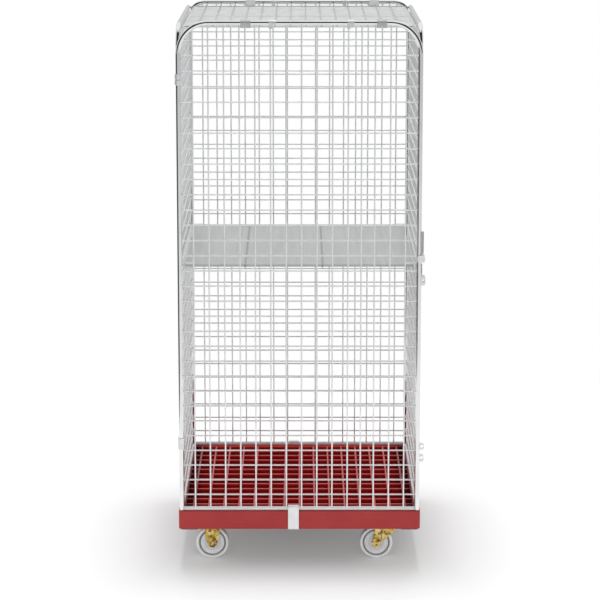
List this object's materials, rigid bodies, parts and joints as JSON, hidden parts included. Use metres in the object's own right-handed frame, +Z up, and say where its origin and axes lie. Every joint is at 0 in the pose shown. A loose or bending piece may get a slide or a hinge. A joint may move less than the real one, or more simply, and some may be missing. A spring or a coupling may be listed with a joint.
{
  "type": "security roll container",
  "caption": "Wire-mesh security roll container on a red plastic roll plate, with a hinged door, hinged lid, folding shelf, side latch, and fixed and swivel casters.",
  "frame": {"origin": "on the floor under the middle of the container", "axes": "+Z up, +X to the right seen from the door, +Y from the door to the rear wall"},
  "size_m": [0.7333, 0.8216, 1.6476],
  "materials": {
    "zinc": "bright zinc plated",
    "red_plastic": "moulded, slightly glossy",
    "shelf_sheet": "matt zinc grey sheet",
    "black_plastic": "dipped grip",
    "yellow_zinc": "yellow chromated zinc",
    "bolt_steel": "zinc plated",
    "wheel_plastic": "moulded",
    "grey_tyre": "non-marking grey rubber"
  },
  "bodies": {
    "container": {"base_plate": "red_plastic", "left_side_frame": "zinc", "left_side_rail": "zinc", "left_side_mesh": "zinc", "right_side_frame": "zinc", "right_side_rail": "zinc", "right_side_mesh": "zinc", "rear_frame": "zinc", "rear_bottom_rail": "zinc", "rear_mesh": "zinc", "rear_wall_clips": "zinc", "rear_hold_plate": "zinc", "rear_lid_rests": "zinc", "upper_door_hinge": "zinc", "lower_door_hinge": "zinc", "latch_keeper": "zinc", "frame_padlock_eye": "zinc", "frame_catch_eye": "zinc", "rear_post_caps": "zinc", "left_front_fork": "yellow_zinc", "left_rear_fork": "yellow_zinc", "left_front_axle": "bolt_steel", "left_rear_axle": "bolt_steel", "right_front_top_plate": "yellow_zinc", "right_rear_top_plate": "yellow_zinc", "king_pins": "bolt_steel", "swivel_balls": "bolt_steel", "caster_bolts": "bolt_steel"},
    "door": {"door_frame": "zinc", "door_bottom_rail": "zinc", "door_mesh": "zinc", "door_post_caps": "zinc", "door_stop_plate": "zinc", "lid_keeper_clips": "zinc", "door_lid_rests": "zinc", "latch_bracket": "zinc", "latch_pin": "zinc", "door_padlock_eye": "zinc", "door_catch_eye": "zinc"},
    "latch": {"latch_lever": "zinc", "latch_grip": "black_plastic"},
    "lid": {"lid_frame": "zinc", "lid_mesh": "zinc", "lid_hinge_straps": "zinc"},
    "shelf": {"shelf_sheet": "shelf_sheet", "shelf_rods": "zinc", "shelf_lugs": "zinc"},
    "front_swivel": {"right_front_fork": "yellow_zinc", "right_front_axle": "bolt_steel"},
    "rear_swivel": {"right_rear_fork": "yellow_zinc", "right_rear_axle": "bolt_steel"},
    "left_front_wheel": {"left_front_wheel_hub": "wheel_plastic", "left_front_wheel_tyre": "grey_tyre"},
    "left_rear_wheel": {"left_rear_wheel_hub": "wheel_plastic", "left_rear_wheel_tyre": "grey_tyre"},
    "right_front_wheel": {"right_front_wheel_hub": "wheel_plastic", "right_front_wheel_tyre": "grey_tyre"},
    "right_rear_wheel": {"right_rear_wheel_hub": "wheel_plastic", "right_rear_wheel_tyre": "grey_tyre"}
  },
  "joints": [
    {"name": "door_hinge", "type": "hinge", "parent": "container", "child": "door", "pos_m": [-0.352, -0.3965, 0.9], "axis": [0, 0, -1], "range_deg": [0, 210]},
    {"name": "lid_hinge", "type": "hinge", "parent": "container", "child": "lid", "pos_m": [0, 0.3965, 1.638], "axis": [-1, 0, 0], "range_deg": [0, 105]},
    {"name": "latch_turn", "type": "hinge", "parent": "door", "child": "latch", "pos_m": [0.3646, -0.3965, 0.945], "axis": [0, 1, 0], "range_deg": [0, 80]},
    {"name": "shelf_fold", "type": "hinge", "parent": "container", "child": "shelf", "pos_m": [-0.3497, 0, 0.92175], "axis": [0, -1, 0], "range_deg": [0, 80]},
    {"name": "front_swivel_turn", "type": "hinge", "parent": "container", "child": "front_swivel", "pos_m": [0.265, -0.282, 0.11], "axis": [0, 0, 1], "continuous": true},
    {"name": "rear_swivel_turn", "type": "hinge", "parent": "container", "child": "rear_swivel", "pos_m": [0.265, 0.282, 0.11], "axis": [0, 0, 1], "continuous": true},
    {"name": "left_front_wheel_spin", "type": "hinge", "parent": "container", "child": "left_front_wheel", "pos_m": [-0.265, -0.282, 0.05], "axis": [0, 1, 0], "continuous": true},
    {"name": "right_front_wheel_spin", "type": "hinge", "parent": "front_swivel", "child": "right_front_wheel", "pos_m": [0.234, -0.282, 0.05], "axis": [0, 1, 0], "continuous": true},
    {"name": "left_rear_wheel_spin", "type": "hinge", "parent": "container", "child": "left_rear_wheel", "pos_m": [-0.265, 0.282, 0.05], "axis": [0, 1, 0], "continuous": true},
    {"name": "right_rear_wheel_spin", "type": "hinge", "parent": "rear_swivel", "child": "right_rear_wheel", "pos_m": [0.234, 0.282, 0.05], "axis": [0, 1, 0], "continuous": true}
  ]
}
